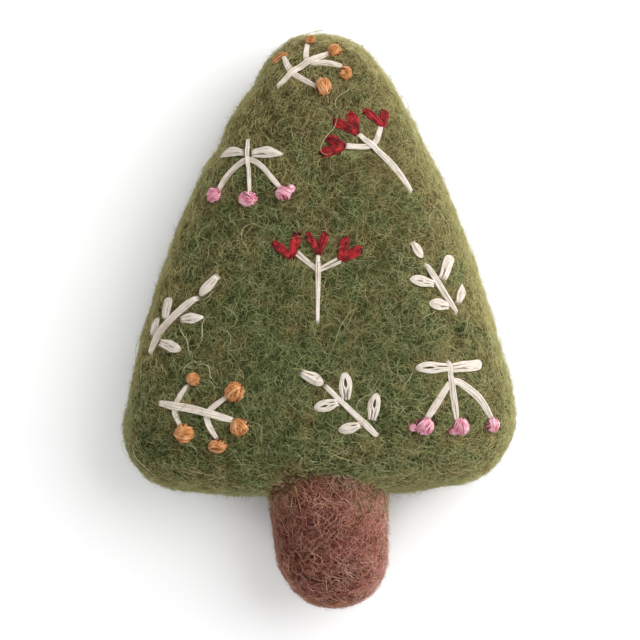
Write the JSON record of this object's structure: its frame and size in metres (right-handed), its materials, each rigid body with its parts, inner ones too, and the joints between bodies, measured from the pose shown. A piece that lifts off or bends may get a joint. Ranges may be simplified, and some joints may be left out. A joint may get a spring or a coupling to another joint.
{
  "type": "felt christmas tree ornament",
  "caption": "Padded needle-felted christmas tree ornament with a round-ended trunk and small embroidered sprigs on its front.",
  "frame": {"origin": "under the middle of the whole ornament, on the surface that its back rests on", "axes": "+Z out of the embroidered front, +Y from the trunk to the tip, +X to the right seen from the front"},
  "size_m": [0.0706, 0.1034, 0.0279],
  "materials": {
    "green_felt": "needle-felted wool, mottled green, fuzzy",
    "brown_felt": "needle-felted wool, reddish brown, fuzzy",
    "core_wool": "undyed felted wool",
    "cream_floss": "stranded cotton floss, soft sheen",
    "red_floss": "stranded cotton floss, soft sheen",
    "pink_floss": "stranded cotton floss, soft sheen",
    "orange_floss": "stranded cotton floss, soft sheen"
  },
  "bodies": {
    "root": {"crown_felt": "green_felt", "left_leaf_sprig_leaf_end": "cream_floss", "left_leaf_sprig_leaf_lower_left": "cream_floss", "left_leaf_sprig_leaf_lower_right": "cream_floss", "left_leaf_sprig_leaf_upper_left": "cream_floss", "left_leaf_sprig_leaf_upper_right": "cream_floss", "left_leaf_sprig_stem": "cream_floss", "lower_berry_sprig_berry_1": "orange_floss", "lower_berry_sprig_berry_2": "orange_floss", "lower_berry_sprig_berry_3": "orange_floss", "lower_berry_sprig_berry_4": "orange_floss", "lower_berry_sprig_berry_5": "orange_floss", "lower_berry_sprig_branch_1": "cream_floss", "lower_berry_sprig_branch_2": "cream_floss", "lower_berry_sprig_stem": "cream_floss", "lower_leaf_sprig_leaf_end": "cream_floss", "lower_leaf_sprig_leaf_lower_left": "cream_floss", "lower_leaf_sprig_leaf_lower_right": "cream_floss", "lower_leaf_sprig_leaf_upper_left": "cream_floss", "lower_leaf_sprig_leaf_upper_right": "cream_floss", "lower_leaf_sprig_stem": "cream_floss", "lower_trio_berry_left": "pink_floss", "lower_trio_berry_middle": "pink_floss", "lower_trio_berry_right": "pink_floss", "lower_trio_bow": "cream_floss", "lower_trio_side_stems": "cream_floss", "lower_trio_stem": "cream_floss", "middle_bud_sprig_bud_left": "red_floss", "middle_bud_sprig_bud_middle": "red_floss", "middle_bud_sprig_bud_right": "red_floss", "middle_bud_sprig_fork": "cream_floss", "middle_bud_sprig_stem": "cream_floss", "right_leaf_sprig_leaf_end": "cream_floss", "right_leaf_sprig_leaf_lower_left": "cream_floss", "right_leaf_sprig_leaf_lower_right": "cream_floss", "right_leaf_sprig_leaf_upper_left": "cream_floss", "right_leaf_sprig_leaf_upper_right": "cream_floss", "right_leaf_sprig_stem": "cream_floss", "top_berry_sprig_berry_1": "orange_floss", "top_berry_sprig_berry_2": "orange_floss", "top_berry_sprig_berry_3": "orange_floss", "top_berry_sprig_berry_4": "orange_floss", "top_berry_sprig_berry_5": "orange_floss", "top_berry_sprig_branch_1": "cream_floss", "top_berry_sprig_branch_2": "cream_floss", "top_berry_sprig_stem": "cream_floss", "trunk_felt": "brown_felt", "upper_bud_sprig_bud_left": "red_floss", "upper_bud_sprig_bud_middle": "red_floss", "upper_bud_sprig_bud_right": "red_floss", "upper_bud_sprig_fork": "cream_floss", "upper_bud_sprig_stem": "cream_floss", "upper_trio_berry_left": "pink_floss", "upper_trio_berry_middle": "pink_floss", "upper_trio_berry_right": "pink_floss", "upper_trio_bow": "cream_floss", "upper_trio_side_stems": "cream_floss", "upper_trio_stem": "cream_floss", "wool_core": "core_wool"}
  },
  "joints": []
}
